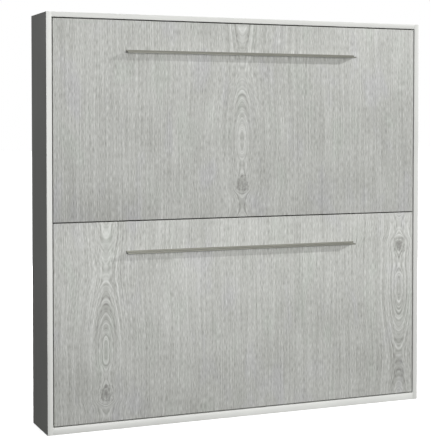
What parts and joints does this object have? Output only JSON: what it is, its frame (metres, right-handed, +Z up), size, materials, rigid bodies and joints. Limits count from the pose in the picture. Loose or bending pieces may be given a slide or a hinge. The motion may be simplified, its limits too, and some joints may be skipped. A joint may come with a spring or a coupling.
{
  "type": "wall bed",
  "caption": "Shallow wall cabinet with two fold-down single beds, one above the other, each behind a wide grey ash-grain door with a long bar handle.",
  "frame": {"origin": "middle of the cabinet's footprint, on the floor under the bottom board", "axes": "+Z up, +X along the width with the doors facing -Y, +Y towards the wall"},
  "size_m": [2.14, 0.323, 2.11],
  "materials": {
    "carcass_board": "melamine-faced chipboard, light grey-white, satin",
    "door_board": "melamine-faced board with a grey-white ash grain, satin",
    "back_board": "thin fibreboard with a pale film, satin",
    "coated_steel": "powder coat, fine texture",
    "zinc_steel": "bright zinc plate",
    "nylon": "moulded, matt",
    "rubber": "moulded, matt",
    "handle_aluminium": "extruded, satin anodised, warm grey",
    "slat_wood": "beech veneer, sanded and oiled",
    "mattress_fabric": "quilted knitted cover",
    "strap_webbing": "woven webbing",
    "strut_black": "gloss black lacquer",
    "chromed_rod": "hard chrome, polished",
    "ladder_aluminium": "extruded, satin anodised"
  },
  "bodies": {
    "cabinet": {"left_side_panel": "carcass_board", "right_side_panel": "carcass_board", "top_panel": "carcass_board", "bottom_panel": "carcass_board", "middle_shelf": "carcass_board", "lower_back_panel": "back_board", "upper_back_panel": "back_board", "back_panel_screws": "zinc_steel", "wall_rail": "carcass_board", "corner_angles": "zinc_steel", "pivot_plates": "coated_steel", "plate_screws": "zinc_steel", "pivot_bushes": "nylon", "stop_buffers": "rubber", "magnetic_catches": "nylon", "strut_anchor_studs": "zinc_steel", "ladder_wall_hooks": "coated_steel"},
    "lower_bed": {"lower_door": "door_board", "lower_handle": "handle_aluminium", "lower_door_fixings": "zinc_steel", "lower_rear_rail": "coated_steel", "lower_front_rail": "coated_steel", "lower_end_rails": "coated_steel", "lower_cross_rails": "coated_steel", "lower_slats": "slat_wood", "lower_slat_holders": "nylon", "lower_mattress": "mattress_fabric", "lower_mattress_straps": "strap_webbing", "lower_pivot_brackets": "coated_steel", "lower_bed_pins": "zinc_steel", "lower_strike_plates": "zinc_steel"},
    "lower_left_strut_cylinder": {"lower_left_strut_cylinder": "strut_black"},
    "lower_left_strut_rod": {"lower_left_strut_rod": "chromed_rod"},
    "lower_right_strut_cylinder": {"lower_right_strut_cylinder": "strut_black"},
    "lower_right_strut_rod": {"lower_right_strut_rod": "chromed_rod"},
    "upper_bed": {"upper_door": "door_board", "upper_handle": "handle_aluminium", "upper_door_fixings": "zinc_steel", "upper_rear_rail": "coated_steel", "upper_front_rail": "coated_steel", "upper_end_rails": "coated_steel", "upper_cross_rails": "coated_steel", "upper_slats": "slat_wood", "upper_slat_holders": "nylon", "upper_mattress": "mattress_fabric", "upper_mattress_straps": "strap_webbing", "upper_pivot_brackets": "coated_steel", "upper_bed_pins": "zinc_steel", "upper_strike_plates": "zinc_steel", "guard_brackets": "coated_steel"},
    "upper_left_strut_cylinder": {"upper_left_strut_cylinder": "strut_black"},
    "upper_left_strut_rod": {"upper_left_strut_rod": "chromed_rod"},
    "upper_right_strut_cylinder": {"upper_right_strut_cylinder": "strut_black"},
    "upper_right_strut_rod": {"upper_right_strut_rod": "chromed_rod"},
    "guard_rail": {"guard_rail": "coated_steel"},
    "ladder": {"ladder_stiles": "ladder_aluminium", "ladder_rungs": "ladder_aluminium", "ladder_hooks": "coated_steel", "ladder_feet": "rubber"}
  },
  "joints": [
    {"name": "lower_bed_tilt", "type": "hinge", "parent": "cabinet", "child": "lower_bed", "pos_m": [0, -0.1075, 0.244], "axis": [1, 0, 0], "range_deg": [0, 90]},
    {"name": "lower_left_strut_swing", "type": "hinge", "parent": "cabinet", "child": "lower_left_strut_cylinder", "pos_m": [0, -0.0295, 0.458], "axis": [1, 0, 0], "range_deg": [0, 10.39]},
    {"name": "lower_left_strut_slide", "type": "slide", "parent": "lower_left_strut_cylinder", "child": "lower_left_strut_rod", "axis": [0, -0.2219, -0.9751], "range_m": [-0.0901, 0]},
    {"name": "lower_right_strut_swing", "type": "hinge", "parent": "cabinet", "child": "lower_right_strut_cylinder", "pos_m": [0, -0.0295, 0.458], "axis": [1, 0, 0], "range_deg": [0, 10.39]},
    {"name": "lower_right_strut_slide", "type": "slide", "parent": "lower_right_strut_cylinder", "child": "lower_right_strut_rod", "axis": [0, -0.2219, -0.9751], "range_m": [-0.0901, 0]},
    {"name": "upper_bed_tilt", "type": "hinge", "parent": "cabinet", "child": "upper_bed", "pos_m": [0, -0.1075, 1.2645], "axis": [1, 0, 0], "range_deg": [0, 90]},
    {"name": "upper_left_strut_swing", "type": "hinge", "parent": "cabinet", "child": "upper_left_strut_cylinder", "pos_m": [0, -0.0295, 1.4785], "axis": [1, 0, 0], "range_deg": [0, 10.39]},
    {"name": "upper_left_strut_slide", "type": "slide", "parent": "upper_left_strut_cylinder", "child": "upper_left_strut_rod", "axis": [0, -0.2219, -0.9751], "range_m": [-0.0901, 0]},
    {"name": "upper_right_strut_swing", "type": "hinge", "parent": "cabinet", "child": "upper_right_strut_cylinder", "pos_m": [0, -0.0295, 1.4785], "axis": [1, 0, 0], "range_deg": [0, 10.39]},
    {"name": "upper_right_strut_slide", "type": "slide", "parent": "upper_right_strut_cylinder", "child": "upper_right_strut_rod", "axis": [0, -0.2219, -0.9751], "range_m": [-0.0901, 0]},
    {"name": "guard_rail_fold", "type": "hinge", "parent": "upper_bed", "child": "guard_rail", "pos_m": [0, 0.0935, 2.04], "axis": [1, 0, 0], "range_deg": [0, 90]},
    {"name": "ladder_lift_off", "type": "slide", "parent": "cabinet", "child": "ladder", "axis": [0, 0, 1], "range_m": [0, 0.025]}
  ],
  "couplings": [
    {"joint": "lower_left_strut_swing", "follows": "lower_bed_tilt", "ratio": 0.11517},
    {"joint": "lower_left_strut_slide", "follows": "lower_bed_tilt", "m_per_rad": -0.057272},
    {"joint": "lower_right_strut_swing", "follows": "lower_bed_tilt", "ratio": 0.11517},
    {"joint": "lower_right_strut_slide", "follows": "lower_bed_tilt", "m_per_rad": -0.057272},
    {"joint": "upper_left_strut_swing", "follows": "upper_bed_tilt", "ratio": 0.11517},
    {"joint": "upper_left_strut_slide", "follows": "upper_bed_tilt", "m_per_rad": -0.057272},
    {"joint": "upper_right_strut_swing", "follows": "upper_bed_tilt", "ratio": 0.11517},
    {"joint": "upper_right_strut_slide", "follows": "upper_bed_tilt", "m_per_rad": -0.057272},
    {"joint": "guard_rail_fold", "follows": "upper_bed_tilt", "ratio": 1}
  ]
}
